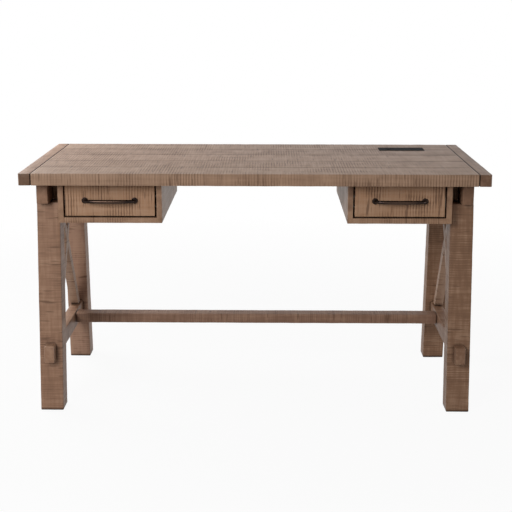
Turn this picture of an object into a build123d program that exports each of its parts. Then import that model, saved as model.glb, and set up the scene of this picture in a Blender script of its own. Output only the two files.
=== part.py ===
from build123d import *
import os
from math import cos, pi, sin, sqrt

os.makedirs("parts", exist_ok=True)

# Every size is in millimetres. The desk stands on Z = 0, X runs along its length and -Y is the sitter's side.

# The whole desk
desk_length = 1422.0
desk_depth = 711.0
desk_height = 762.0
joint_fit = 0.15

# The top: planks with tongue-and-groove edges, held flat by a breadboard end at each side
top_thickness = 38.0
plank_count = 5
breadboard_width = 38.0
tongue_thickness = 12.0
tongue_length = 12.0
tongue_stop = 18.0
seam_ease = 1.0
edge_ease = 2.0
corner_radius = 7.0

# The legs lean in towards the top; their feet and heads are cut level
leg_width = 73.0
leg_depth = 73.0
leg_overhang = 35.0
leg_ease = 3.0
foot_spread = 640.0
leg_slope = 0.0945

# Rails of each trestle
top_rail_width = 36.0
top_rail_height = 67.0
top_rail_setback = 6.5
horn_length = 34.6
head_tenon_width = 14.0
head_tenon_depth = 40.0
head_tenon_height = 24.0
lower_rail_width = 36.0
lower_rail_height = 56.0
lower_rail_level = 160.0
tenon_shoulder = 1.5
tenon_proud = 35.0
rail_ease = 2.0

# Half-lapped braces of each trestle
brace_thickness = 30.0
brace_width = 33.0
brace_head_offset = 117.0
brace_foot_offset = 192.0

# Stretcher between the two lower rails
stretcher_depth = 56.0
stretcher_height = 33.0
stretcher_setback = 92.0
stretcher_drop = 4.0
stub_length = 20.0
stub_inset = 8.0

# Bolts that hold the top to the top rails
bolt_radius = 4.0
bolt_head_radius = 8.0
bolt_head_height = 6.0
bolt_recess = 29.0
bolt_bite = 24.0
bolt_offset = 160.0

# Drawer boxes under the top
cabinet_width = 320.0
cabinet_setback = 55.5
cabinet_height = 124.0
board_thickness = 18.0
back_thickness = 12.0
dado_depth = 6.0
dado_height = 8.0
dado_stop = 22.0
cleat_size = 18.0
cleat_front = 60.0
cleat_clearance = 29.0
packing_length = 400.0

# Drawers
front_gap = 4.0
front_thickness = 18.0
front_ease = 1.0
drawer_length = 440.0
drawer_side_height = 70.0
drawer_lift = 12.0
drawer_wall = 12.0
bottom_thickness = 6.0
bottom_groove = 5.0
bottom_raise = 8.0

# Side-mounted slides, a rail running inside a channel
slide_space = 12.7
slide_sheet = 1.5
slide_height = 36.0
slide_flange = 8.5
slide_reach = 9.8
slide_length = 430.0
slide_setback = 8.0
running_gap = 0.3

# Bow pulls
pull_centres = 152.4
pull_projection = 31.0
pull_end_radius = 4.0
pull_middle_radius = 6.0
pull_sections = 17
pull_squareness = 0.7
rosette_radius = 9.5
rosette_height = 4.0
screw_radius = 2.0
screw_head_radius = 4.2
screw_head_height = 2.4
screw_bite = 9.0
screw_fit = 0.1

# Power module let into the top, above the back of the right-hand drawer box
power_length = 156.0
power_depth = 76.0
power_from_end = 211.0
power_from_back = 130.5
power_lip = 6.0
bezel_thickness = 3.0
bezel_width = 10.0
plate_thickness = 2.4
housing_depth = 47.0
housing_wall = 6.0
housing_floor = 2.4
usb_share = 0.34
usb_width = 12.5
usb_height = 5.2
usb_pitch = 18.0
outlet_pitch = 42.0
blade_length = 8.5
blade_width = 2.0
blade_spacing = 12.7
earth_radius = 1.9
gland_radius = 5.5
gland_bore = 3.2
gland_length = 12.0
notch_width = 32.0
notch_height = 22.0
notch_radius = 8.0

# Levels and places worked out from the sizes above
top_level = desk_height
under_top = desk_height - top_thickness
plank_width = desk_depth / plank_count
plank_end = desk_length / 2 - breadboard_width
tongue_low = under_top + (top_thickness - tongue_thickness) / 2
tongue_high = tongue_low + tongue_thickness
leg_x = desk_length / 2 - leg_overhang - leg_width / 2
leg_inner_x = leg_x - leg_width / 2
foot_y = foot_spread / 2 - leg_depth / 2
leg_head = under_top - top_rail_height
top_rail_x = leg_x + leg_width / 2 - top_rail_setback - top_rail_width / 2
lower_rail_top = lower_rail_level + lower_rail_height
lower_rail_inner = leg_x - lower_rail_width / 2
lower_rail_outer = leg_x + lower_rail_width / 2
stretcher_top = lower_rail_top - stretcher_drop
stretcher_low = stretcher_top - stretcher_height
cabinet_low = under_top - cabinet_height
cabinet_front = cabinet_setback - desk_depth / 2
cabinet_back = desk_depth / 2 - cabinet_setback
cabinet_outer = leg_inner_x
cabinet_inner = leg_inner_x - cabinet_width
opening_outer = cabinet_outer - board_thickness
opening_inner = cabinet_inner + board_thickness
opening_low = cabinet_low + board_thickness
drawer_x = (opening_outer + opening_inner) / 2
box_front = cabinet_front + front_thickness
box_back = box_front + drawer_length
box_low = opening_low + drawer_lift
box_top = box_low + drawer_side_height
box_outer = opening_outer - slide_space
box_inner = opening_inner + slide_space
panel_low = box_low + bottom_raise
panel_top = panel_low + bottom_thickness
pull_z = (opening_low + under_top) / 2
slide_z = (box_low + box_top) / 2


def board(x0, x1, y0, y1, z0, z1):
    """A square-edged board given by its two opposite corners."""
    return Pos((x0 + x1) / 2, (y0 + y1) / 2, (z0 + z1) / 2) * Box(x1 - x0, y1 - y0, z1 - z0)


def side_profile(points, x0, x1):
    """A board cut to an outline drawn in Y and Z, running from x0 to x1."""
    return Pos(x0, 0, 0) * extrude(Plane.YZ * Polygon(*points, align=None), amount=x1 - x0, dir=(1, 0, 0))


def end_profile(points, y0, y1):
    """A strip with an outline drawn in X and Z, running from y0 to y1."""
    return Pos(0, y0, 0) * extrude(Plane.XZ * Polygon(*points, align=None), amount=y1 - y0, dir=(0, 1, 0))


def round_bar(x, y0, y1, z, radius):
    """A round bar or hole along Y."""
    return Pos(x, (y0 + y1) / 2, z) * Rot(90, 0, 0) * Cylinder(radius, y1 - y0)


def upright(x, y, z0, z1, radius):
    """A round bar or hole along Z."""
    return Pos(x, y, (z0 + z1) / 2) * Cylinder(radius, z1 - z0)


def leg_front_face(z):
    """How far the outer face of a leg is from the middle of the desk, at height z."""
    return foot_y + leg_depth / 2 - leg_slope * z


def leg_back_face(z):
    """How far the inner face of a leg is from the middle of the desk, at height z."""
    return leg_front_face(z) - leg_depth


def save(name, shape):
    export_step(shape, f"parts/{name}.step")


def save_pair(name, shape):
    """Save the right-hand piece as built and the left-hand piece as its mirror image."""
    save(f"{name}_right", shape)
    save(f"{name}_left", mirror(shape, about=Plane.YZ))


# Power module outlines, needed by the planks as well
power_x = desk_length / 2 - power_from_end
power_y = desk_depth / 2 - power_from_back
power_left = power_x - power_length / 2
power_right = power_x + power_length / 2
power_front = power_y - power_depth / 2
power_rear = power_y + power_depth / 2
bezel_low = top_level - bezel_thickness


def power_block(inset, z0, z1):
    """A block on the outline of the power module, drawn in by an inset."""
    return board(
        power_left + inset, power_right - inset, power_front + inset, power_rear - inset, z0, z1
    )


# Top planks: a tongue on the back edge, a groove on the front edge, a tongue on both ends
top_cutout = power_block(0, bezel_low, top_level + 1) + power_block(power_lip, under_top - 1, bezel_low + 1)
bolt_places = [(sx * top_rail_x, sy * bolt_offset) for sx in (-1, 1) for sy in (-1, 1)]
bolt_tip = under_top + bolt_bite
bolt_holes = [
    upright(x, y, under_top - 1, bolt_tip + joint_fit, bolt_radius + joint_fit)
    for x, y in bolt_places
]
for index in range(plank_count):
    front = -desk_depth / 2 + index * plank_width
    back = front + plank_width
    plank = board(-plank_end, plank_end, front, back, under_top, top_level)
    top_edges = plank.edges().filter_by(Axis.X).group_by(Axis.Z)[-1]
    plank = chamfer(top_edges, seam_ease)
    tongue_front = max(front, -desk_depth / 2 + tongue_stop)
    tongue_back = min(back, desk_depth / 2 - tongue_stop)
    reach = plank_end + tongue_length
    plank += board(-reach, reach, tongue_front, tongue_back, tongue_low, tongue_high)
    if index > 0:
        groove_back = front + tongue_length + joint_fit
        plank -= board(-reach, reach, front, groove_back, tongue_low - joint_fit, tongue_high + joint_fit)
    if index < plank_count - 1:
        plank += board(-plank_end, plank_end, back, back + tongue_length, tongue_low, tongue_high)
    if front < power_rear and power_front < back + tongue_length:
        plank -= top_cutout
    for (x, y), hole in zip(bolt_places, bolt_holes):
        if front < y < back:
            plank -= hole
    save(f"top_plank_{index + 1}", plank)

# Breadboard ends, grooved over the plank tongues, with eased outer edges
breadboard = board(plank_end, desk_length / 2, -desk_depth / 2, desk_depth / 2, under_top, top_level)
outer_corners = breadboard.edges().filter_by(Axis.Z).group_by(Axis.X)[-1]
breadboard = fillet(outer_corners, corner_radius)
breadboard = chamfer(breadboard.faces().sort_by(Axis.Z)[-1].edges(), seam_ease)
breadboard -= board(
    plank_end - 1,
    plank_end + tongue_length + joint_fit,
    -desk_depth / 2 + tongue_stop - joint_fit,
    desk_depth / 2 - tongue_stop + joint_fit,
    tongue_low - joint_fit,
    tongue_high + joint_fit,
)
save_pair("breadboard", breadboard)

# Power bezel, flush with the top
bezel_hole = power_block(bezel_width, bezel_low - 1, top_level + 1)
bezel = power_block(joint_fit, bezel_low, top_level)
bezel = fillet(bezel.edges().filter_by(Axis.Z), edge_ease) - bezel_hole
save("power_bezel", bezel)

# Socket plates that fill the bezel and rest on the rim of the housing
plate_top = bezel_low + plate_thickness
plate_left = power_left + bezel_width + joint_fit
plate_right = power_right - bezel_width - joint_fit
plate_front = power_front + bezel_width + joint_fit
plate_rear = power_rear - bezel_width - joint_fit
plate_split = plate_left + usb_share * (plate_right - plate_left)
usb_x = (plate_left + plate_split) / 2
usb_plate = board(plate_left, plate_split - joint_fit, plate_front, plate_rear, bezel_low, plate_top)
for side in (-1, 1):
    port_y = power_y + side * usb_pitch / 2
    usb_plate -= Pos(usb_x, port_y, bezel_low) * Box(usb_width, usb_height, 4 * plate_thickness)
save("power_usb_plate", usb_plate)

outlet_plate = board(plate_split + joint_fit, plate_right, plate_front, plate_rear, bezel_low, plate_top)
outlet_x = (plate_split + plate_right) / 2
for side in (-1, 1):
    socket_x = outlet_x + side * outlet_pitch / 2
    for blade in (-1, 1):
        blade_x = socket_x + blade * blade_spacing / 2
        outlet_plate -= Pos(blade_x, power_y + blade_length / 2, bezel_low) * Box(
            blade_width, blade_length, 4 * plate_thickness
        )
    outlet_plate -= upright(socket_x, power_y - blade_length, bezel_low - 1, top_level, earth_radius)
save("power_outlet_plate", outlet_plate)

# Power housing: a tub under the bezel with a cable gland at the back
housing_low = bezel_low - housing_depth
gland_z = (housing_low + under_top) / 2
housing = power_block(power_lip + joint_fit, housing_low, bezel_low)
housing_back = power_rear - power_lip - joint_fit
gland_end = housing_back + gland_length
housing += round_bar(power_x, housing_back - 1, gland_end, gland_z, gland_radius)
housing -= power_block(power_lip + joint_fit + housing_wall, housing_low + housing_floor, bezel_low + 1)
housing -= round_bar(power_x, housing_back - housing_wall - 1, gland_end + 1, gland_z, gland_bore)
save("power_housing", housing)

# Legs: a stub tenon on the head goes into the top rail, a mortise takes the lower rail
tenon_width = lower_rail_width - 2 * tenon_shoulder
mortise_reach = foot_spread
mortise = board(
    leg_x - tenon_width / 2 - joint_fit,
    leg_x + tenon_width / 2 + joint_fit,
    -mortise_reach,
    mortise_reach,
    lower_rail_level - joint_fit,
    lower_rail_top + joint_fit,
)
head_y = foot_y - leg_slope * leg_head
for name, side in (("leg_front", -1), ("leg_back", 1)):
    foot = Pos(leg_x, side * foot_y, 0) * RectangleRounded(leg_width, leg_depth, leg_ease)
    lean = Vector(0, -side * leg_slope, 1)
    leg = extrude(foot, amount=leg_head * lean.length, dir=lean.normalized())
    leg += board(
        top_rail_x - head_tenon_width / 2,
        top_rail_x + head_tenon_width / 2,
        side * head_y - head_tenon_depth / 2,
        side * head_y + head_tenon_depth / 2,
        leg_head - 1,
        leg_head + head_tenon_height,
    )
    save_pair(name, leg - mortise)

# Top rails: each lies on the heads of two legs and runs on past them as a horn at each end
horn_y = leg_front_face(leg_head) + horn_length
top_rail = board(
    top_rail_x - top_rail_width / 2, top_rail_x + top_rail_width / 2, -horn_y, horn_y, leg_head, under_top
)
for end in (0, -1):
    horn_edges = top_rail.edges().group_by(Axis.Y)[end]
    horn_lip = horn_edges.filter_by(Axis.X).sort_by(Axis.Z)[:1]
    top_rail = chamfer(horn_edges.filter_by(Axis.Z) + horn_lip, rail_ease)
for side in (-1, 1):
    top_rail -= board(
        top_rail_x - head_tenon_width / 2 - joint_fit,
        top_rail_x + head_tenon_width / 2 + joint_fit,
        side * head_y - head_tenon_depth / 2 - joint_fit,
        side * head_y + head_tenon_depth / 2 + joint_fit,
        leg_head - 1,
        leg_head + head_tenon_height + joint_fit,
    )
    top_rail -= upright(top_rail_x, side * bolt_offset, leg_head - 1, under_top + 1, bolt_radius + joint_fit)
    top_rail -= upright(
        top_rail_x, side * bolt_offset, leg_head - 1, leg_head + bolt_recess, bolt_head_radius + joint_fit
    )
save_pair("top_rail", top_rail)

# Lower rails: shouldered between the legs, with through-tenons that stand proud of the legs
lower_rail = side_profile(
    [
        (-leg_back_face(lower_rail_level), lower_rail_level),
        (leg_back_face(lower_rail_level), lower_rail_level),
        (leg_back_face(lower_rail_top), lower_rail_top),
        (-leg_back_face(lower_rail_top), lower_rail_top),
    ],
    lower_rail_inner,
    lower_rail_outer,
)
tenon_reach = leg_front_face((lower_rail_level + lower_rail_top) / 2) + tenon_proud
tenon_inner = leg_x - tenon_width / 2
tenon_outer = leg_x + tenon_width / 2
tenon = board(tenon_inner, tenon_outer, -tenon_reach, tenon_reach, lower_rail_level, lower_rail_top)
tenon_ends = tenon.edges().group_by(Axis.Y)[0] + tenon.edges().group_by(Axis.Y)[-1]
lower_rail += chamfer(tenon_ends, rail_ease)
stretcher_front = stretcher_setback - stretcher_depth / 2
stretcher_back = stretcher_setback + stretcher_depth / 2
lower_rail -= board(
    lower_rail_inner - 1,
    lower_rail_inner + stub_length + joint_fit,
    stretcher_front + stub_inset - joint_fit,
    stretcher_back - stub_inset + joint_fit,
    stretcher_low + stub_inset - joint_fit,
    stretcher_top - stub_inset + joint_fit,
)
save_pair("lower_rail", lower_rail)

# Stretcher between the lower rails
stretcher = board(
    -lower_rail_inner, lower_rail_inner, stretcher_front, stretcher_back, stretcher_low, stretcher_top
)
stretcher = chamfer(stretcher.edges().filter_by(Axis.X), edge_ease)
stub_reach = lower_rail_inner + stub_length
stretcher += board(
    -stub_reach,
    stub_reach,
    stretcher_front + stub_inset,
    stretcher_back - stub_inset,
    stretcher_low + stub_inset,
    stretcher_top - stub_inset,
)
save("stretcher", stretcher)

# Braces: one falls to the back, one falls to the front, half-lapped where they cross
brace_outer = lower_rail_outer
brace_inner = brace_outer - brace_thickness
brace_middle = (brace_inner + brace_outer) / 2
brace_run = brace_head_offset + brace_foot_offset
brace_rise = leg_head - lower_rail_top
half_cut = brace_width / 2 * sqrt(brace_run**2 + brace_rise**2) / brace_rise


def brace(side, x0, x1):
    """A brace with level ends whose foot lies towards the back (side 1) or the front (side -1)."""
    head = -side * brace_head_offset
    heel = side * brace_foot_offset
    outline = [
        (head - half_cut, leg_head),
        (head + half_cut, leg_head),
        (heel + half_cut, lower_rail_top),
        (heel - half_cut, lower_rail_top),
    ]
    return side_profile(outline, x0, x1)


save_pair("brace_to_back", brace(1, brace_inner, brace_outer) - brace(-1, brace_inner - 1, brace_middle))
save_pair("brace_to_front", brace(-1, brace_inner, brace_outer) - brace(1, brace_middle, brace_outer + 1))

# Bolts from the top rails into the planks, heads up in their recesses
bolts = []
for x, y in bolt_places:
    seat = leg_head + bolt_recess
    shank = upright(x, y, seat - 1, under_top + bolt_bite, bolt_radius)
    bolts.append(upright(x, y, seat - bolt_head_height, seat, bolt_head_radius) + shank)
save("top_bolts", Compound(children=bolts))

# Drawer boxes: two sides, a bottom in stopped dados, a back, a pair of cleats inside,
# and a packing strip outside that fills the space between the box and the top rail
dado_low = cabinet_low + (board_thickness - dado_height) / 2
dado_high = dado_low + dado_height
dado = board(
    opening_inner - dado_depth - joint_fit,
    opening_outer + dado_depth + joint_fit,
    cabinet_front + dado_stop - joint_fit,
    cabinet_back - dado_stop + joint_fit,
    dado_low - joint_fit,
    dado_high + joint_fit,
)
outer_side = board(opening_outer, cabinet_outer, cabinet_front, cabinet_back, cabinet_low, under_top)
inner_side = board(cabinet_inner, opening_inner, cabinet_front, cabinet_back, cabinet_low, under_top)
save_pair("cabinet_outer_side", chamfer(outer_side.edges().group_by(Axis.Y)[0], front_ease) - dado)
save_pair("cabinet_inner_side", chamfer(inner_side.edges().group_by(Axis.Y)[0], front_ease) - dado)
cabinet_bottom = board(opening_inner, opening_outer, cabinet_front, cabinet_back, cabinet_low, opening_low)
cabinet_bottom += board(
    opening_inner - dado_depth,
    opening_outer + dado_depth,
    cabinet_front + dado_stop,
    cabinet_back - dado_stop,
    dado_low,
    dado_high,
)
save_pair("cabinet_bottom", cabinet_bottom)
back_front = cabinet_back - back_thickness
back_panel = board(opening_inner, opening_outer, back_front, cabinet_back, opening_low, under_top)
cord_notch = board(
    power_x - notch_width / 2,
    power_x + notch_width / 2,
    cabinet_back - 2 * back_thickness,
    cabinet_back + back_thickness,
    under_top - notch_height,
    under_top + 1,
)
notch_corners = cord_notch.edges().filter_by(Axis.Y).group_by(Axis.Z)[0]
save("cabinet_back_left", mirror(back_panel, about=Plane.YZ))
save("cabinet_back_right", back_panel - fillet(notch_corners, notch_radius))
cleat_low = under_top - cleat_size
cleat_back = power_front - cleat_clearance
cleats = [
    board(x0, x0 + cleat_size, cabinet_front + cleat_front, cleat_back, cleat_low, under_top)
    for x0 in (opening_inner, opening_outer - cleat_size)
]
top_rail_inner = top_rail_x - top_rail_width / 2
packing_half = packing_length / 2
cleats.append(board(cabinet_outer, top_rail_inner, -packing_half, packing_half, leg_head, under_top))
save_pair("cabinet_cleats", Compound(children=cleats))

# Drawer slides: a channel on each cabinet side, a rail on each drawer side
channel_front = box_front + slide_setback
channel_back = channel_front + slide_length
channel_half = slide_height / 2
rail_half = channel_half - slide_sheet - running_gap


def slide_profile(wall, facing, reach, half):
    """A C section whose web lies on a wall at X and whose flanges point along facing."""
    lip = wall + facing * reach
    web = wall + facing * slide_sheet
    return [
        (wall, slide_z - half),
        (lip, slide_z - half),
        (lip, slide_z - half + slide_sheet),
        (web, slide_z - half + slide_sheet),
        (web, slide_z + half - slide_sheet),
        (lip, slide_z + half - slide_sheet),
        (lip, slide_z + half),
        (wall, slide_z + half),
    ]


channels = [
    end_profile(slide_profile(wall, facing, slide_flange, channel_half), channel_front, channel_back)
    for wall, facing in ((opening_inner, 1), (opening_outer, -1))
]
save_pair("slide_channels", Compound(children=channels))
rails = [
    end_profile(slide_profile(wall, facing, slide_reach, rail_half), channel_front, channel_back)
    for wall, facing in ((box_inner, -1), (box_outer, 1))
]
save_pair("slide_rails", Compound(children=rails))

# Drawers: the bottom slides under the back into grooves in the sides and the front
inside_inner = box_inner + drawer_wall
inside_outer = box_outer - drawer_wall
groove = board(
    inside_inner - bottom_groove - joint_fit,
    inside_outer + bottom_groove + joint_fit,
    box_front - bottom_groove - joint_fit,
    box_back + 1,
    panel_low - joint_fit,
    panel_top + joint_fit,
)
drawer_front = board(
    opening_inner + front_gap,
    opening_outer - front_gap,
    cabinet_front,
    box_front,
    opening_low + front_gap,
    under_top - front_gap,
)
drawer_front = chamfer(drawer_front.edges().group_by(Axis.Y)[0], front_ease) - groove
screw_places = [drawer_x - pull_centres / 2, drawer_x + pull_centres / 2]
for x in screw_places:
    drawer_front -= round_bar(x, cabinet_front - 1, box_front + 1, pull_z, screw_radius + screw_fit)
save_pair("drawer_front", drawer_front)
drawer_outer_side = board(inside_outer, box_outer, box_front, box_back, box_low, box_top)
drawer_inner_side = board(box_inner, inside_inner, box_front, box_back, box_low, box_top)
drawer_back = board(inside_inner, inside_outer, box_back - drawer_wall, box_back, panel_top, box_top)
drawer_bottom = board(
    inside_inner - bottom_groove,
    inside_outer + bottom_groove,
    box_front - bottom_groove,
    box_back,
    panel_low,
    panel_top,
)
save_pair("drawer_outer_side", drawer_outer_side - groove)
save_pair("drawer_inner_side", drawer_inner_side - groove)
save_pair("drawer_back", drawer_back)
save_pair("drawer_bottom", drawer_bottom)

# Bow pulls: a round bar bent on a squared half ellipse, swelling towards its middle, on two turned rosettes
half_pull = pull_centres / 2
bow_start = rosette_height - 1
bow_depth = pull_projection - bow_start
sections = []
for step in range(pull_sections):
    turn = pi * step / (pull_sections - 1)
    out = abs(cos(turn))
    forward = abs(sin(turn))
    hand = 1 if turn > pi / 2 else -1
    place = (hand * half_pull * out**pull_squareness, -bow_start - bow_depth * forward**pull_squareness, 0)
    lead = 2 - pull_squareness
    heading = (half_pull * forward**lead, hand * bow_depth * out**lead, 0)
    radius = pull_end_radius + (pull_middle_radius - pull_end_radius) * sin(turn)
    sections.append(Plane(origin=place, z_dir=heading) * Circle(radius))
pull = loft(sections)
for side in (-1, 1):
    rosette = round_bar(side * half_pull, -rosette_height, 0, 0, rosette_radius)
    pull += fillet(rosette.edges().group_by(Axis.Y)[0], rosette_height / 2)
for side in (-1, 1):
    pull -= round_bar(side * half_pull, -screw_bite - screw_fit, 1, 0, screw_radius + screw_fit)
save_pair("pull", Pos(drawer_x, cabinet_front, pull_z) * pull)

screws = []
for x in screw_places:
    shank = round_bar(x, cabinet_front - screw_bite, box_front + 1, pull_z, screw_radius)
    screws.append(shank + round_bar(x, box_front, box_front + screw_head_height, pull_z, screw_head_radius))
save_pair("pull_screws", Compound(children=screws))
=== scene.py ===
import math
import bpy
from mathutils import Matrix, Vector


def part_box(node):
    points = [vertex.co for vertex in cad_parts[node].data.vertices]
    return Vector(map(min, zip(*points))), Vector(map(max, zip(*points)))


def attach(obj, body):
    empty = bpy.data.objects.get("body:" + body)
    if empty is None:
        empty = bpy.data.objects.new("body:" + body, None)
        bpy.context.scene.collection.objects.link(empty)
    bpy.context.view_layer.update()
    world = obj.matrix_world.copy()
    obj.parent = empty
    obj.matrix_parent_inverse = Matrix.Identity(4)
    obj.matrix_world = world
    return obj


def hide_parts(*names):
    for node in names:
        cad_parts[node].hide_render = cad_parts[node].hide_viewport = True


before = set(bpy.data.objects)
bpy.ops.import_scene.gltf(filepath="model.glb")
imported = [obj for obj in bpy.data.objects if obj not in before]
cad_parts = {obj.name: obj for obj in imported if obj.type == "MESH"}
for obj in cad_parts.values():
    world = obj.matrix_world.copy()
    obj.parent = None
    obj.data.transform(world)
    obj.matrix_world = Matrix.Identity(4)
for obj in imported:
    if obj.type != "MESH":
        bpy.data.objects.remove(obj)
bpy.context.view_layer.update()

# Legs: four posts of pine, sawn square and left rough, which lean in towards the top.
# Feet and heads are cut level, and each head is tenoned up into a top rail.
# The saw left ridges across each face, and years of use have worn the edges soft.
X, Y, Z = range(3)  # the ways that a board's length can run
leg_depth = 0.073
leg_head = 0.657
leg_ease = 0.0035
# Each leg is a copy of one wood, and the differences between their stains are painted light: the right legs
# darker as painted shade, the back legs lighter as painted light.
leg_stains_and_painted_light = {
    "leg_front_left": "836450",
    "leg_front_right": "765945",
    "leg_back_left": "967663",
    "leg_back_right": "7c5e49",
}
# The bottom of each leg is darker: partly stain drunk by the end grain, partly painted contact shadow by the
# floor.
foot_stain_and_shadow = "3a302a"
floor_shadow_and_stain_height = 0.011


def square_board(name, low, high):
    """A square-edged board between two opposite corners, left in edit mode with all of it selected."""
    bpy.ops.object.select_all(action="DESELECT")
    bpy.ops.mesh.primitive_cube_add(size=1, enter_editmode=True)
    bpy.ops.transform.resize(value=[b - a for a, b in zip(low, high)])
    bpy.ops.transform.translate(value=[(a + b) / 2 for a, b in zip(low, high)])
    piece = bpy.context.active_object
    piece.name = name
    return piece


def pick(piece, kind, chosen):
    """Select, in edit mode, the corners, edges or faces of a piece that a test chooses."""
    bpy.ops.object.mode_set(mode="EDIT")
    bpy.ops.mesh.select_mode(type=kind)
    bpy.ops.mesh.select_all(action="DESELECT")
    bpy.ops.object.mode_set(mode="OBJECT")
    mesh = piece.data
    for part in {"VERT": mesh.vertices, "EDGE": mesh.edges, "FACE": mesh.polygons}[kind]:
        part.select = chosen(part)
    bpy.ops.object.mode_set(mode="EDIT")


# Strips of this width, along and across a board, are fine enough to carry the saw ridges.
strip = 0.003
cross_strip = 0.012
most_cuts = 90  # the subdivide tool stops at a hundred
long_share = 0.4  # an edge this much of the board's length or more isn't one of its eased corners


def cut_strips(piece, axis, width):
    """Cut a board across, all along one axis, into strips: first into a few lengths, then each of those."""
    places = [corner.co[axis] for corner in piece.data.vertices]
    reach = max(places) - min(places)
    count = max(1, round(reach / width))
    lengths = math.ceil(count / most_cuts)
    for parts, longest in ((lengths, reach), (round(count / lengths), reach / lengths)):

        def runs_along(edge):
            ends = [piece.data.vertices[i].co for i in edge.vertices]
            span = [abs(a - b) for a, b in zip(*ends)]
            return span[axis] == max(span) and span[axis] > long_share * longest

        pick(piece, "EDGE", runs_along)
        if parts > 1:
            bpy.ops.mesh.subdivide(number_cuts=parts - 1)
    bpy.ops.object.mode_set(mode="OBJECT")


# The saw's ridges run straight across a board, so one guide for each way that a board can lie
# draws them out sideways. Wear has no direction.
ridge_width = 0.0065
ridge_stretch = 40
leg_saw_depth = 0.0003
wear_width = 0.05
wear_depth = 0.0009
inward_level = 1.2  # past the brightest spot of a texture, so that it presses in and never out
sharp_edge = math.radians(30)
smooth_edge = math.radians(40)
saw_guides = []
for axis in (X, Y, Z):
    bpy.ops.object.empty_add(location=(0, 0, 0))
    guide = bpy.context.active_object
    guide.scale = [1 if axis == i else ridge_stretch for i in (X, Y, Z)]
    saw_guides.append(guide)
saw_ridges = bpy.data.textures.new("saw_ridges", "CLOUDS")
saw_ridges.noise_scale = ridge_width
hand_wear = bpy.data.textures.new("hand_wear", "CLOUDS")
hand_wear.noise_scale = wear_width


def sink(piece, texture, depth, guide):
    """Press a texture into a piece, inwards only."""
    bpy.ops.object.modifier_add(type="DISPLACE")
    press = piece.modifiers[-1]
    press.texture = texture
    press.strength = depth
    press.mid_level = inward_level
    if guide:
        press.texture_coords = "OBJECT"
        press.texture_coords_object = guide
    bpy.ops.object.modifier_apply(modifier=press.name)


def saw_and_wear(piece, length, ease, saw_depth):
    """Ease the edges of a board, then sink saw ridges across its length and years of wear all over it."""
    bpy.ops.object.mode_set(mode="EDIT")
    bpy.ops.mesh.select_mode(type="EDGE")
    bpy.ops.mesh.select_all(action="DESELECT")
    bpy.ops.mesh.edges_select_sharp(sharpness=sharp_edge)
    bpy.ops.mesh.bevel(offset=ease, segments=2, affect="EDGES")
    bpy.ops.object.mode_set(mode="OBJECT")
    for axis in (X, Y, Z):
        cut_strips(piece, axis, strip if axis == length else cross_strip)
    sink(piece, saw_ridges, saw_depth, saw_guides[length])
    sink(piece, hand_wear, wear_depth, None)
    bpy.ops.object.shade_smooth_by_angle(angle=smooth_edge)


def linear(colour):
    """An sRGB hex colour as linear red, green, blue and alpha."""
    parts = [int(colour[i:i + 2], 16) / 255 for i in (0, 2, 4)]
    return [p / 12.92 if p <= 0.04045 else ((p + 0.055) / 1.055) ** 2.4 for p in parts] + [1.0]


def add_node(tree, kind, settings, links):
    """Add a node to a material, set its values and link its inputs to outputs of other nodes."""
    node = tree.nodes.new("ShaderNode" + kind)
    for name, value in settings.items():
        if isinstance(name, int) or name in node.inputs:
            node.inputs[name].default_value = value
        else:
            setattr(node, name, value)
    for name, (source, output) in links.items():
        tree.links.new(source.outputs[output], node.inputs[name])
    return node


def bare_material(name):
    """A new material that has no nodes yet, and its tree of nodes."""
    material = bpy.data.materials.new(name)
    material.use_nodes = True
    material.node_tree.nodes.clear()
    return material, material.node_tree


# Patterns in the wood, in metres. Growth rings and saw marks are 2 or 3 mm apart on a real board,
# which is too fine for the render, so both are drawn three or four times as coarse.
wood_dark = "5a4233"
wood_pale = "a68871"
# The painted shade in corners and between parts is mixed towards this dark brown.
corner_shade_colour = "2a1d15"
leg_saw_pitch = 0.0075
saw_waver = 0.035
streak_length = 0.1111
grain_length = 0.2
grain_width = 0.009091
blotch_size = 0.0625
rub_size = 0.1
snag_width = 0.00625
snag_length = 0.08333
corner_reach = 0.012
relief_depth = 0.0012
streak_share, grain_share, blotch_share = 0.5, 0.5, 0.45
line_cover = 0.2  # how much of a board the saw lines darken
sheen_spread = 0.1
wave_turn = 20  # the wave node turns this many radians in each unit of its scale
mix_share, mix_from, mix_to, mixed = 0, 6, 7, 2  # the colour sockets of a Mix node


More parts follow.
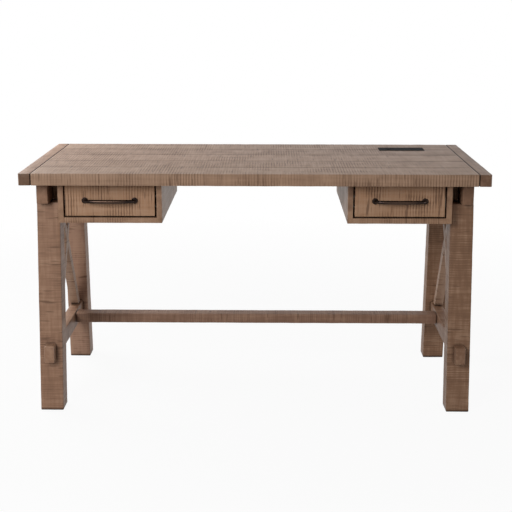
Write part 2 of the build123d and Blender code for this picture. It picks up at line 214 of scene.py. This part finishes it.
def sawn_pine(
    name, length, stain, saw_pitch, saw_share, painted_corner_shade, dullness, dark=wood_dark, pale=wood_pale
):
    """Rough-sawn pine, stained brown and rubbed with a grey wash. It shows saw lines across the board,
    long grain, blotchy stain, dark snags and painted shade in the corners, and it has a dull sheen."""
    material, tree = bare_material(name)
    turn = {X: (0, 0, 0), Y: (0, 0, -math.pi / 2), Z: (0, math.pi / 2, 0)}[length]
    place = add_node(tree, "TexCoord", {}, {})
    along = add_node(tree, "Mapping", {"Rotation": turn}, {"Vector": (place, "Object")})
    saw_scale = 2 * math.pi / (wave_turn * saw_pitch)
    kerf = add_node(
        tree, "TexWave",
        {"Scale": saw_scale, "Distortion": 1.4, "Detail": 2.0, "Detail Scale": 1 / (saw_scale * saw_waver)},
        {"Vector": (along, "Vector")},
    )
    line = add_node(
        tree, "MapRange", {"From Max": 0.5, "To Min": 1.0, "To Max": 0.0}, {"Value": (kerf, "Fac")}
    )
    across = add_node(
        tree, "Mapping", {"Scale": (1 / saw_pitch, 1 / streak_length, 1 / streak_length)},
        {"Vector": (along, "Vector")},
    )
    streak = add_node(tree, "TexNoise", {"Scale": 1.0, "Detail": 3.0}, {"Vector": (across, "Vector")})
    lengthways = add_node(
        tree, "Mapping", {"Scale": (1 / grain_length, 1 / grain_width, 1 / grain_width)},
        {"Vector": (along, "Vector")},
    )
    grain = add_node(tree, "TexNoise", {"Scale": 1.0, "Detail": 4.0}, {"Vector": (lengthways, "Vector")})
    blotch = add_node(
        tree, "TexNoise", {"Scale": 1 / blotch_size, "Detail": 3.0}, {"Vector": (along, "Vector")}
    )
    # The wash was rubbed off in patches, and the saw lines show most there.
    rubbed = add_node(tree, "TexNoise", {"Scale": 1 / rub_size, "Detail": 1.0}, {"Vector": (along, "Vector")})
    sawn = add_node(
        tree, "MapRange", {"From Min": 0.42, "From Max": 0.62, "To Min": 0.1}, {"Value": (rubbed, "Fac")}
    )
    marks = add_node(tree, "Math", {"operation": "MULTIPLY"}, {0: (line, "Result"), 1: (sawn, "Result")})
    # The layers add up to a tone whose average is the middle of the ramp, where the stain itself is.
    ramp_middle = 0.5
    average = (streak_share + grain_share + blotch_share) / 2 - line_cover * saw_share
    tone = add_node(
        tree, "Math", {"operation": "MULTIPLY_ADD", 1: -saw_share, 2: ramp_middle - average},
        {0: (marks, "Value")},
    )
    for layer, share in ((streak, streak_share), (grain, grain_share), (blotch, blotch_share)):
        tone = add_node(
            tree, "Math", {"operation": "MULTIPLY_ADD", 1: share}, {0: (layer, "Fac"), 2: (tone, "Value")}
        )
    stained = add_node(tree, "ValToRGB", {}, {"Fac": (tone, "Value")})
    ramp = stained.color_ramp.elements
    ramp[0].color = linear(dark)
    ramp[1].color = linear(pale)
    ramp.new(ramp_middle).color = linear(stain)
    # Snags are the few short cuts where the saw caught and tore the wood, which drank more stain.
    catches = add_node(
        tree, "Mapping", {"Scale": (1 / snag_width, 1 / snag_length, 1 / snag_length)},
        {"Vector": (along, "Vector")},
    )
    snag = add_node(tree, "TexNoise", {"Scale": 1.0, "Detail": 2.0}, {"Vector": (catches, "Vector")})
    caught = add_node(
        tree, "MapRange", {"From Min": 0.62, "From Max": 0.7, "To Max": 0.75}, {"Value": (snag, "Fac")}
    )
    snagged = add_node(
        tree, "Mix", {"data_type": "RGBA", mix_to: linear(dark)},
        {mix_share: (caught, "Result"), mix_from: (stained, "Color")},
    )
    colour = (snagged, mixed)
    # Where two faces meet, ambient occlusion darkens the colour towards a dark brown: painted shade in the
    # corners and between parts.
    if painted_corner_shade:
        occlusion = add_node(tree, "AmbientOcclusion", {"Distance": corner_reach, "samples": 6}, {})
        shade_share = add_node(
            tree, "MapRange", {"From Min": 0.35, "From Max": 0.9, "To Min": painted_corner_shade, "To Max": 0.0},
            {"Value": (occlusion, "AO")},
        )
        shaded = add_node(
            tree, "Mix", {"data_type": "RGBA", mix_to: linear(corner_shade_colour)},
            {mix_share: (shade_share, "Result"), mix_from: colour},
        )
        colour = (shaded, mixed)
    relief = add_node(tree, "Bump", {"Strength": 0.5, "Distance": relief_depth}, {"Height": (tone, "Value")})
    dull = add_node(
        tree, "MapRange", {"To Min": dullness + sheen_spread, "To Max": dullness - sheen_spread},
        {"Value": (tone, "Value")},
    )
    surface = add_node(
        tree, "BsdfPrincipled", {"IOR": 1.5, "Specular IOR Level": 0.15},
        {"Base Color": colour, "Roughness": (dull, "Result"), "Normal": (relief, "Normal")},
    )
    add_node(tree, "OutputMaterial", {}, {"Surface": (surface, "BSDF")})
    return material


def darken(material, stain, choose):
    """Lay a darker colour over part of a wood, where a function of its tree and coordinates gives a share:
    more stain, or painted shade.
    """
    tree = material.node_tree
    spot = add_node(tree, "TexCoord", {}, {})
    axes = add_node(tree, "SeparateXYZ", {}, {0: (spot, "Object")})
    share = choose(tree, axes)
    surface = tree.nodes["Principled BSDF"]
    before = surface.inputs["Base Color"].links[0].from_socket
    darker = add_node(
        tree, "Mix", {"data_type": "RGBA", "blend_type": "MULTIPLY", mix_to: linear(stain)},
        {mix_share: (share, 0)},
    )
    tree.links.new(before, darker.inputs[mix_from])
    tree.links.new(darker.outputs[mixed], surface.inputs["Base Color"])


def near_floor_stain_and_shadow(tree, axes):
    """The last few millimetres of a foot are darker: the sawn end grain drinks the stain, and painted contact
    shadow darkens every face just above the floor.
    """
    return add_node(
        tree, "MapRange", {"From Min": floor_shadow_and_stain_height, "From Max": 0.0}, {0: (axes, "Z")}
    )


leg_woods = {
    node: sawn_pine(
        "rough_sawn_pine_" + node, length=Z, stain=stain,
        saw_pitch=leg_saw_pitch, saw_share=0.22, painted_corner_shade=0.85, dullness=0.48,
    )
    for node, stain in leg_stains_and_painted_light.items()
}
for wood in leg_woods.values():
    darken(wood, foot_stain_and_shadow, near_floor_stain_and_shadow)
for node, wood in leg_woods.items():
    low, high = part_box(node)
    inward = -1 if "back" in node else 1
    foot, head = (low.y, high.y) if inward == 1 else (high.y, low.y)
    heel = foot + inward * leg_depth
    leg = square_board(
        "post_" + node, (low.x, min(foot, heel), low.z), (high.x, max(foot, heel), leg_head)
    )
    pick(leg, "VERT", lambda corner: corner.co.z > leg_head / 2)
    bpy.ops.transform.translate(value=(0, head - heel, 0))
    saw_and_wear(leg, Z, leg_ease, leg_saw_depth)
    leg.data.materials.append(wood)
    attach(leg, "desk")
    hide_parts(node)

# Top rails: one lies on the heads of each pair of legs, of the same pine, bolted up into the top.
# Each end runs on past the leg as a horn with eased corners, and the bolt heads sit in round recesses.
# The right rails' stain is darker than the left's as painted shade, for the weaker light at that end.
rail_stains_and_painted_shade = {"left": "846551", "right": "755845"}
rail_ease = 0.003
bolt_place = 0.160
recess_radius = 0.008
recess_top = 0.686
recess_sides = 32


def combine(piece, other, how):
    """Cut another shape away from a piece (DIFFERENCE) or join it on (UNION), and throw the shape away."""
    bpy.ops.object.mode_set(mode="OBJECT")
    bpy.ops.object.select_all(action="DESELECT")
    piece.select_set(True)
    bpy.context.view_layer.objects.active = piece
    bpy.ops.object.modifier_add(type="BOOLEAN")
    piece.modifiers[-1].operation = how
    piece.modifiers[-1].object = other
    bpy.ops.object.modifier_apply(modifier=piece.modifiers[-1].name)
    bpy.data.objects.remove(other)


rail_woods = {
    hand: sawn_pine(
        "rough_sawn_pine_rail_" + hand, length=Y, stain=stain,
        saw_pitch=leg_saw_pitch, saw_share=0.22, painted_corner_shade=0.5, dullness=0.48,
    )
    for hand, stain in rail_stains_and_painted_shade.items()
}
for hand, wood in rail_woods.items():
    node = f"top_rail_{hand}"
    low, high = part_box(node)
    rail = square_board("beam_" + node, low, high)
    saw_and_wear(rail, Y, rail_ease, leg_saw_depth)
    for end in (-1, 1):
        bpy.ops.mesh.primitive_cylinder_add(
            vertices=recess_sides, radius=recess_radius, depth=2 * (recess_top - low.z),
            location=((low.x + high.x) / 2, end * bolt_place, low.z),
        )
        combine(rail, bpy.context.active_object, "DIFFERENCE")
    rail.data.materials.append(wood)
    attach(rail, "desk")
    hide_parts(node)

# Lower rails: one of the same pine between each pair of legs, tenoned right through them.
# The tenons stand proud of the legs, with their ends rounded over by hand.
tenon_shoulder = 0.0015
tenon_ease = 0.004
shoulder_place = 0.2285
for hand, wood in rail_woods.items():
    node = f"lower_rail_{hand}"
    low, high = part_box(node)
    rail = square_board("beam_" + node, (low.x, -shoulder_place, low.z), (high.x, shoulder_place, high.z))
    saw_and_wear(rail, Y, rail_ease, leg_saw_depth)
    tenon = square_board(
        "tenon", (low.x + tenon_shoulder, low.y, low.z), (high.x - tenon_shoulder, high.y, high.z)
    )
    saw_and_wear(tenon, Y, tenon_ease, leg_saw_depth)
    combine(rail, tenon, "UNION")
    rail.data.materials.append(wood)
    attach(rail, "desk")
    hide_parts(node)

# Braces: two straight bars crossing between the rails of each pair of legs, half-lapped where they meet.
# Both are pine, cut level at head and heel to sit on the rails.
brace_stain = "9b7e6a"
brace_ease = 0.0015
brace_head = 0.117
brace_heel = 0.192
brace_half = 0.0201
spare = 0.01  # how far a shape that cuts reaches past what it cuts
brace_wood = sawn_pine(
    "rough_sawn_pine_brace", length=Z, stain=brace_stain,
    saw_pitch=leg_saw_pitch, saw_share=0.25, painted_corner_shade=0.7, dullness=0.45,
)


def brace_bar(name, low, high, side):
    """A leaning bar between two levels, with its heel towards the back (side 1) or the front (side -1)."""
    heel = side * brace_heel
    bar = square_board(
        name, (low[X], heel - brace_half, low[Z]), (high[X], heel + brace_half, high[Z])
    )
    pick(bar, "VERT", lambda corner: corner.co.z > (low[Z] + high[Z]) / 2)
    bpy.ops.transform.translate(value=(0, -side * (brace_head + brace_heel), 0))
    return bar


for hand, towards in (("left", -1), ("right", 1)):
    for way, side in (("to_back", 1), ("to_front", -1)):
        node = f"brace_{way}_{hand}"
        low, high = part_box(node)
        middle = (low.x + high.x) / 2
        bar = brace_bar("bar_" + node, low, high, side)
        saw_and_wear(bar, Z, brace_ease, leg_saw_depth)
        near, far = (low.x - spare, middle) if towards * side > 0 else (middle, high.x + spare)
        lap = brace_bar("lap", (near, 0, low.z - spare), (far, 0, high.z + spare), -side)
        combine(bar, lap, "DIFFERENCE")
        bar.data.materials.append(brace_wood)
        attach(bar, "desk")
        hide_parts(node)

# Stretcher: one long bar of pine between the lower rails, set back behind the knees.
# Its ends are stub-tenoned into the rails, so only the shoulders show.
stretcher_stain = "7f6251"
stretcher_ease = 0.002
stub = 0.020
stretcher_wood = sawn_pine(
    "rough_sawn_pine_stretcher", length=X, stain=stretcher_stain,
    saw_pitch=leg_saw_pitch, saw_share=0.15, painted_corner_shade=0.7, dullness=0.5,
)
low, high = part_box("stretcher")
stretcher = square_board(
    "stretcher_bar", (low.x + stub, low.y, low.z), (high.x - stub, high.y, high.z)
)
saw_and_wear(stretcher, X, stretcher_ease, leg_saw_depth)
stretcher.data.materials.append(stretcher_wood)
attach(stretcher, "desk")
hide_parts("stretcher")

# Top: five pine planks, tongued and grooved along their edges, their seams left open as fine dark lines.
# The power module is let into the planks at the back on the right.
plank_stains = ("886d59", "826753", "886d5a", "7e6452", "856c5a")
plank_ease = 0.0018
plank_saw_depth = 0.0005
plank_saw_pitch = 0.0085
plank_width = 0.1422
plank_end = 0.673
seam_colour = "6a584c"
seam_stain = 0.004
end_seam_colour = "85756a"
end_seam_stain = 0.002


def near_seam(tree, axes):
    """The stain lies thick along each seam between planks, and fades out over a few millimetres."""
    half = plank_width / 2
    row = add_node(tree, "Math", {"operation": "PINGPONG", 1: half}, {0: (axes, "Y")})
    close = add_node(
        tree, "MapRange", {"From Min": half - seam_stain, "From Max": half}, {0: (row, "Value")}
    )
    reach = add_node(tree, "Math", {"operation": "ABSOLUTE"}, {0: (axes, "Y")})
    inside = add_node(tree, "Math", {"operation": "LESS_THAN", 1: 2 * plank_width}, {0: (reach, "Value")})
    return add_node(tree, "Math", {"operation": "MULTIPLY"}, {0: (close, "Result"), 1: (inside, "Value")})


def near_end_seam(tree, axes):
    """Stain fills the joint between the planks and the boards across their ends."""
    reach = add_node(tree, "Math", {"operation": "ABSOLUTE"}, {0: (axes, "X")})
    return add_node(
        tree, "Math", {"operation": "COMPARE", 1: plank_end, 2: end_seam_stain}, {0: (reach, "Value")}
    )


plank_woods = []
for number, stain in enumerate(plank_stains, start=1):
    wood = sawn_pine(
        f"rough_sawn_pine_plank_{number}", length=X, stain=stain,
        saw_pitch=plank_saw_pitch, saw_share=0.38, painted_corner_shade=0.8, dullness=0.46,
    )
    darken(wood, seam_colour, near_seam)
    darken(wood, end_seam_colour, near_end_seam)
    plank_woods.append(wood)
module_low, module_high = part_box("power_bezel")
for number, wood in enumerate(plank_woods, start=1):
    node = f"top_plank_{number}"
    low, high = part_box(node)
    back = low.y + plank_width
    plank = square_board("board_" + node, (-plank_end, low.y, low.z), (plank_end, back, high.z))
    saw_and_wear(plank, X, plank_ease, plank_saw_depth)
    if module_low.y < back and low.y < module_high.y:
        pocket = square_board(
            "pocket",
            (module_low.x, module_low.y, low.z - spare), (module_high.x, module_high.y, high.z + spare),
        )
        combine(plank, pocket, "DIFFERENCE")
    plank.data.materials.append(wood)
    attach(plank, "desk")
    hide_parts(node)

# Breadboard ends: a pine board across each end of the top, grooved over the planks to hold them flat.
# The outer corners are rounded so that they don't catch.
# The right breadboard's stain is darker than the left's as painted shade, for the weaker light at that end.
breadboard_stains_and_painted_shade = {"left": "876955", "right": "6f5544"}
end_grain_stains = {"left": "b3afac", "right": "ebe7e4"}
end_grain_place = 0.353
end_grain_fade = 0.001
corner_radius = 0.007
upright_rise = 0.01
nearly = 0.001
breadboard_woods = {
    hand: sawn_pine(
        "rough_sawn_pine_breadboard_" + hand, length=Y, stain=stain,
        saw_pitch=plank_saw_pitch, saw_share=0.38, painted_corner_shade=0.8, dullness=0.46,
    )
    for hand, stain in breadboard_stains_and_painted_shade.items()
}


def end_grain(tree, axes):
    """End grain drinks the stain, so both ends of the board are darker."""
    reach = add_node(tree, "Math", {"operation": "ABSOLUTE"}, {0: (axes, "Y")})
    return add_node(
        tree, "MapRange", {"From Min": end_grain_place, "From Max": end_grain_place + end_grain_fade},
        {0: (reach, "Value")},
    )


for hand, wood in breadboard_woods.items():
    darken(wood, end_grain_stains[hand], end_grain)
    darken(wood, end_seam_colour, near_end_seam)
for hand, outward in (("left", -1), ("right", 1)):
    node = f"breadboard_{hand}"
    low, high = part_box(node)
    end_board = square_board("board_" + node, low, high)
    outer = max(low.x * outward, high.x * outward)

    def outer_corner(edge):
        ends = [end_board.data.vertices[i].co for i in edge.vertices]
        return abs(ends[0].z - ends[1].z) > upright_rise and ends[0].x * outward > outer - nearly

    pick(end_board, "EDGE", outer_corner)
    bpy.ops.mesh.bevel(offset=corner_radius, segments=4, affect="EDGES")
    saw_and_wear(end_board, Y, plank_ease, plank_saw_depth)
    end_board.data.materials.append(breadboard_woods[hand])
    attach(end_board, "desk")
    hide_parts(node)

# Drawer cabinets: two sides, a bottom and a back of pine board under the top, one cabinet at each end.
# The sides hang from cleats and from the underside of the top, and the bottom is housed in them.
cabinet_stain = "91725b"
bottom_stain = "886a54"
cabinet_ease = 0.0012
dado = 0.006
shoulder_bite = 0.0018
cabinet_wood = sawn_pine(
    "rough_sawn_pine_cabinet", length=Y, stain=cabinet_stain,
    saw_pitch=leg_saw_pitch, saw_share=0.35, painted_corner_shade=0, dullness=0.44,
)
cabinet_bottom_wood = sawn_pine(
    "rough_sawn_pine_cabinet_bottom", length=X, stain=bottom_stain,
    saw_pitch=leg_saw_pitch, saw_share=0.4, painted_corner_shade=0, dullness=0.55,
)


def dress(node, material):
    """Give a material to a piece that keeps the shape it has in the frame."""
    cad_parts[node].material_slots[0].material = material


for hand in ("left", "right"):
    for board in ("outer_side", "inner_side", "bottom"):
        node = f"cabinet_{board}_{hand}"
        low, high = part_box(node)
        housed = dado - shoulder_bite if board == "bottom" else 0
        panel = square_board(
            "panel_" + node, (low.x + housed, low.y, low.z), (high.x - housed, high.y, high.z)
        )
        saw_and_wear(panel, Y, cabinet_ease, leg_saw_depth)
        panel.data.materials.append(cabinet_bottom_wood if board == "bottom" else cabinet_wood)
        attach(panel, "desk")
        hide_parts(node)
    dress(f"cabinet_back_{hand}", cabinet_bottom_wood)
    dress(f"cabinet_cleats_{hand}", cabinet_bottom_wood)

# Drawer fronts: one pine board to each drawer, set inside its cabinet with an even gap all round.
# The saw marks stand upright on them, and stronger than elsewhere.
front_stain = "947258"
front_ease = 0.0012
front_wood = sawn_pine(
    "rough_sawn_pine_drawer_front", length=X, stain=front_stain,
    saw_pitch=plank_saw_pitch, saw_share=0.6, painted_corner_shade=0, dullness=0.6,
)
for hand in ("left", "right"):
    node = f"drawer_front_{hand}"
    low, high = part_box(node)
    front = square_board("board_" + node, low, high)
    saw_and_wear(front, X, front_ease, plank_saw_depth)
    front.data.materials.append(front_wood)
    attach(front, f"drawer_{hand}")
    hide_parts(node)
# These are the last sawn boards, so the guides have done their work.
for guide in saw_guides:
    bpy.data.objects.remove(guide)

# Drawer boxes: thin planed pine, glued round a bottom that slides in a groove.
# Planed and left bare, the wood is pale and even, with only a trace of the cutter across it.
box_stain = "b59a78"
box_dark = "9a7d5c"
box_pale = "c9b291"
box_wood = sawn_pine(
    "planed_pine_drawer_box", length=Y, stain=box_stain, dark=box_dark, pale=box_pale,
    saw_pitch=leg_saw_pitch, saw_share=0.1, painted_corner_shade=0, dullness=0.62,
)
for hand in ("left", "right"):
    for board in ("outer_side", "inner_side", "back", "bottom"):
        dress(f"drawer_{board}_{hand}", box_wood)

# Pulls: cast bow handles in oil-rubbed bronze, held by a screw through the drawer front at each end.
# The bar swells towards its middle, and stands on a turned rosette with a ring cut in it at each end.
half_pull = 0.0762
pull_reach = 0.031
rosette_radius = 0.0095
rosette_height = 0.004
rosette_round = 0.0016
rosette_sides = 48
ring_width = 0.001
bar_end_radius = 0.004
bar_middle_radius = 0.006
bar_sides = 24
bow_squareness = 0.7
bow_steps = 48
bow_bite = 0.001
bow_start = rosette_height - bow_bite
bow_depth = pull_reach - bar_middle_radius - bow_start
flat_front = -0.99  # a face that looks straight forward has less than this for the Y of its normal


def bow_place(turn):
    """The middle of the bar, from one rosette (0) out and back to the other (pi)."""
    side = -math.cos(turn)
    across = math.copysign(half_pull * abs(side) ** bow_squareness, side)
    return (across, -bow_start - bow_depth * abs(math.sin(turn)) ** bow_squareness, 0)


def bow_heading(turn):
    """The way that the bar runs there, as an angle in plan."""
    lead = 2 - bow_squareness
    out = math.copysign(abs(math.cos(turn)) ** lead, -math.cos(turn))
    return math.atan2(bow_depth * out, half_pull * abs(math.sin(turn)) ** lead)


def bar_radius(turn):
    """Half the bar's thickness there."""
    return bar_end_radius + (bar_middle_radius - bar_end_radius) * math.sin(turn)


bpy.ops.object.select_all(action="DESELECT")
bpy.ops.mesh.primitive_circle_add(
    vertices=bar_sides, radius=bar_end_radius, fill_type="NGON",
    location=bow_place(0), rotation=(math.pi / 2, 0, 0),
)
pull = bpy.context.active_object
pull.name = "bow_pull"
bpy.ops.object.transform_apply()
bpy.ops.object.mode_set(mode="EDIT")
for step in range(bow_steps):
    here, there = math.pi * step / bow_steps, math.pi * (step + 1) / bow_steps
    move = [b - a for a, b in zip(bow_place(here), bow_place(there))]
    bpy.ops.mesh.extrude_region_move(TRANSFORM_OT_translate={"value": move})
    bpy.ops.transform.rotate(
        value=bow_heading(here) - bow_heading(there), orient_axis="Z", center_override=bow_place(there)
    )
    grow = bar_radius(there) / bar_radius(here)
    bpy.ops.transform.resize(value=(grow, grow, grow), center_override=bow_place(there))
bpy.ops.mesh.select_all(action="SELECT")
bpy.ops.mesh.normals_make_consistent(inside=False)
for side in (-1, 1):
    bpy.ops.object.mode_set(mode="OBJECT")
    bpy.ops.object.select_all(action="DESELECT")
    bpy.ops.mesh.primitive_cylinder_add(
        vertices=rosette_sides, radius=rosette_radius, depth=rosette_height,
        location=(side * half_pull, -rosette_height / 2, 0), rotation=(math.pi / 2, 0, 0),
    )
    rosette = bpy.context.active_object
    bpy.ops.object.transform_apply()
    pick(rosette, "FACE", lambda face: face.normal.y < flat_front)
    bpy.ops.mesh.bevel(offset=rosette_round, segments=4, affect="EDGES")
    pick(rosette, "FACE", lambda face: face.normal.y < flat_front)
    for step_in in (ring_width, -ring_width):
        bpy.ops.mesh.inset(thickness=ring_width)
        bpy.ops.mesh.extrude_region_move(TRANSFORM_OT_translate={"value": (0, step_in, 0)})
    combine(pull, rosette, "UNION")
bpy.ops.object.shade_smooth_by_angle(angle=smooth_edge)
# Bronze darkened with oil is nearly black, with a patchy shine that is sharper where the patches are dark.
# Hands have rubbed the front of the bow back to warm metal.
patina_dark = "170f0d"
patina_pale = "2e211c"
bare_bronze = "6a5140"
patch_size = 0.008333
cast_depth = 0.0003
worn_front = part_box("drawer_front_left")[0].y - pull_reach
bronze, tree = bare_material("oil_rubbed_bronze_cast")
place = add_node(tree, "TexCoord", {}, {})
rubbing = add_node(tree, "TexNoise", {"Scale": 1 / patch_size, "Detail": 3.0}, {"Vector": (place, "Object")})
patina = add_node(tree, "ValToRGB", {}, {"Fac": (rubbing, "Fac")})
patina.color_ramp.elements[0].color = linear(patina_dark)
patina.color_ramp.elements[1].color = linear(patina_pale)
axes = add_node(tree, "SeparateXYZ", {}, {0: (place, "Object")})
handled = add_node(
    tree, "MapRange", {"From Min": worn_front + bar_end_radius, "From Max": worn_front, "To Max": 0.25},
    {0: (axes, "Y")},
)
worn = add_node(
    tree, "Mix", {"data_type": "RGBA", mix_to: linear(bare_bronze)},
    {mix_share: (handled, "Result"), mix_from: (patina, "Color")},
)
sheen = add_node(tree, "MapRange", {"To Min": 0.18, "To Max": 0.34}, {"Value": (rubbing, "Fac")})
cast_skin = add_node(tree, "Bump", {"Strength": 0.2, "Distance": cast_depth}, {"Height": (rubbing, "Fac")})
surface = add_node(
    tree, "BsdfPrincipled", {"Metallic": 0.85},
    {"Base Color": (worn, mixed), "Roughness": (sheen, "Result"), "Normal": (cast_skin, "Normal")},
)
add_node(tree, "OutputMaterial", {}, {"Surface": (surface, "BSDF")})
pull.data.materials.append(bronze)
for hand in ("left", "right"):
    front_low, front_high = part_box(f"drawer_front_{hand}")
    bpy.ops.object.select_all(action="DESELECT")
    pull.select_set(True)
    bpy.context.view_layer.objects.active = pull
    bpy.ops.object.duplicate()
    bow = bpy.context.active_object
    bow.name = f"bow_pull_{hand}"
    bpy.ops.object.mode_set(mode="EDIT")
    bpy.ops.mesh.select_all(action="SELECT")
    bpy.ops.transform.translate(
        value=((front_low.x + front_high.x) / 2, front_low.y, (front_low.z + front_high.z) / 2)
    )
    bpy.ops.object.mode_set(mode="OBJECT")
    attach(bow, f"drawer_{hand}")
    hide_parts(f"pull_{hand}")
bpy.data.objects.remove(pull)

# Power module: a flush insert of black ABS, moulded in four parts, which drops into a pocket in the top.
# ABS from a fine-textured mould scatters the light, so it looks soft black with hardly any shine.
# The texture of a real mould is about 0.1 mm, too fine for the render, so it is drawn ten times as coarse.
abs_dark = "121213"
abs_pale = "1d1d1f"
mould_grit = 0.001111
plastic, tree = bare_material("black_abs_moulded")
place = add_node(tree, "TexCoord", {}, {})
mould = add_node(tree, "TexNoise", {"Scale": 1 / mould_grit, "Detail": 2.0}, {"Vector": (place, "Object")})
black = add_node(tree, "ValToRGB", {}, {"Fac": (mould, "Fac")})
black.color_ramp.elements[0].color = linear(abs_dark)
black.color_ramp.elements[1].color = linear(abs_pale)
gloss = add_node(tree, "MapRange", {"To Min": 0.7, "To Max": 0.85}, {"Value": (mould, "Fac")})
surface = add_node(
    tree, "BsdfPrincipled", {"IOR": 1.53, "Specular IOR Level": 0.05},
    {"Base Color": (black, "Color"), "Roughness": (gloss, "Result")},
)
add_node(tree, "OutputMaterial", {}, {"Surface": (surface, "BSDF")})
for part in ("bezel", "usb_plate", "outlet_plate", "housing"):
    dress(f"power_{part}", plastic)

# Slides and fixings: pressed steel channels in the cabinets, rails on the drawers, screws through
# the drawer fronts into the pulls, and bolts from the top rails up into the top.
# All are zinc-plated, which gives a soft grey shine, clouded in patches of a few millimetres.
zinc_dark = "5f5f5c"
zinc_pale = "8a8a86"
zinc_patch = 0.003333
steel, tree = bare_material("zinc_plated_steel")
place = add_node(tree, "TexCoord", {}, {})
plating = add_node(tree, "TexNoise", {"Scale": 1 / zinc_patch, "Detail": 2.0}, {"Vector": (place, "Object")})
zinc = add_node(tree, "ValToRGB", {}, {"Fac": (plating, "Fac")})
zinc.color_ramp.elements[0].color = linear(zinc_dark)
zinc.color_ramp.elements[1].color = linear(zinc_pale)
surface = add_node(
    tree, "BsdfPrincipled", {"Metallic": 1.0, "Roughness": 0.45}, {"Base Color": (zinc, "Color")}
)
add_node(tree, "OutputMaterial", {}, {"Surface": (surface, "BSDF")})
for hand in ("left", "right"):
    for part in ("slide_channels", "slide_rails", "pull_screws"):
        dress(f"{part}_{hand}", steel)
dress("top_bolts", steel)

# Studio: a floor of matt white paint that keeps a faint shadow near the desk, and a white room.
# Both look white where they are seen, and light the desk less than that. Three soft lamps do the rest: one
# high in front on the left, one at the left end for the top, and a low one on the right for the legs.
white = "ffffff"
floor_grey = "bababa"
floor_width = 60
shadow_start, shadow_end = 1.0, 3.0
shadow_share = 0.06
room_light = 0.26


def seen_directly(tree):
    """1 where a surface is seen, straight or in gloss or through glass, and 0 where it only gives light."""
    ray = add_node(tree, "LightPath", {}, {})
    looked_at = add_node(
        tree, "Math", {"operation": "MAXIMUM"}, {0: (ray, "Is Camera Ray"), 1: (ray, "Is Glossy Ray")}
    )
    return add_node(
        tree, "Math", {"operation": "MAXIMUM"}, {0: (looked_at, "Value"), 1: (ray, "Is Transmission Ray")}
    )


bpy.ops.object.select_all(action="DESELECT")
bpy.ops.mesh.primitive_plane_add(size=floor_width)
floor = bpy.context.active_object
floor.name = "floor"
floor_paint, tree = bare_material("matt_white_floor")
seen = seen_directly(tree)
paint = add_node(tree, "BsdfDiffuse", {"Color": linear(floor_grey)}, {})
bright = add_node(tree, "Emission", {"Color": linear(white)}, {})
spot = add_node(tree, "TexCoord", {}, {})
distance = add_node(tree, "VectorMath", {"operation": "LENGTH"}, {0: (spot, "Object")})
close_by = add_node(
    tree, "MapRange",
    {"From Min": shadow_start, "From Max": shadow_end, "To Min": shadow_share, "To Max": 0.0},
    {"Value": (distance, "Value")},
)
faint = add_node(
    tree, "MixShader", {}, {0: (close_by, "Result"), 1: (bright, "Emission"), 2: (paint, "BSDF")}
)
shown = add_node(tree, "MixShader", {}, {0: (seen, "Value"), 1: (paint, "BSDF"), 2: (faint, "Shader")})
add_node(tree, "OutputMaterial", {}, {"Surface": (shown, "Shader")})
floor.data.materials.append(floor_paint)

room = bpy.data.worlds.new("white_room")
bpy.context.scene.world = room
room.use_nodes = True
tree = room.node_tree
tree.nodes.clear()
seen = seen_directly(tree)
level = add_node(tree, "MapRange", {"To Min": room_light, "To Max": 1.0}, {"Value": (seen, "Value")})
glow = add_node(tree, "Background", {"Color": linear(white)}, {"Strength": (level, "Result")})
add_node(tree, "OutputWorld", {}, {"Surface": (glow, "Background")})


def soft_lamp(name, place, aim, size, power):
    """A square soft lamp that points at a spot."""
    bpy.ops.object.light_add(type="AREA", location=place)
    lamp = bpy.context.active_object
    lamp.name = name
    lamp.data.size = size
    lamp.data.energy = power
    across, back, up = [b - a for a, b in zip(place, aim)]
    tilt = math.atan2(math.hypot(across, back), -up)
    lamp.rotation_euler = (tilt, 0, math.atan2(back, across) - math.pi / 2)


soft_lamp("front_lamp", place=(-1.75, -3.5, 2.05), aim=(0, 0, 0.5), size=1.6, power=109)
soft_lamp("left_lamp", place=(-1.45, 0.7, 1.42), aim=(-0.2, 0, 0.75), size=1.0, power=29)
soft_lamp("right_lamp", place=(2.6, -0.5, 0.4), aim=(0, 0, 0.4), size=1.0, power=16)

# Camera: at the photograph's place and angle, nearly straight in front and half a metre above the top.
# It looks slightly down with a long lens, and leans and turns by less than a degree.
camera_place = (0.04433, -3.82229, 1.29378)
look_down = 0.222
lean = -0.00118
turn_left = 0.01166
bpy.ops.object.camera_add(location=camera_place, rotation=(math.pi / 2 - look_down, lean, turn_left))
camera = bpy.context.active_object
camera.data.sensor_width = 36
camera.data.lens = 82.38
bpy.context.scene.camera = camera
bpy.context.scene.view_settings.view_transform = "Standard"

bpy.context.view_layer.update()
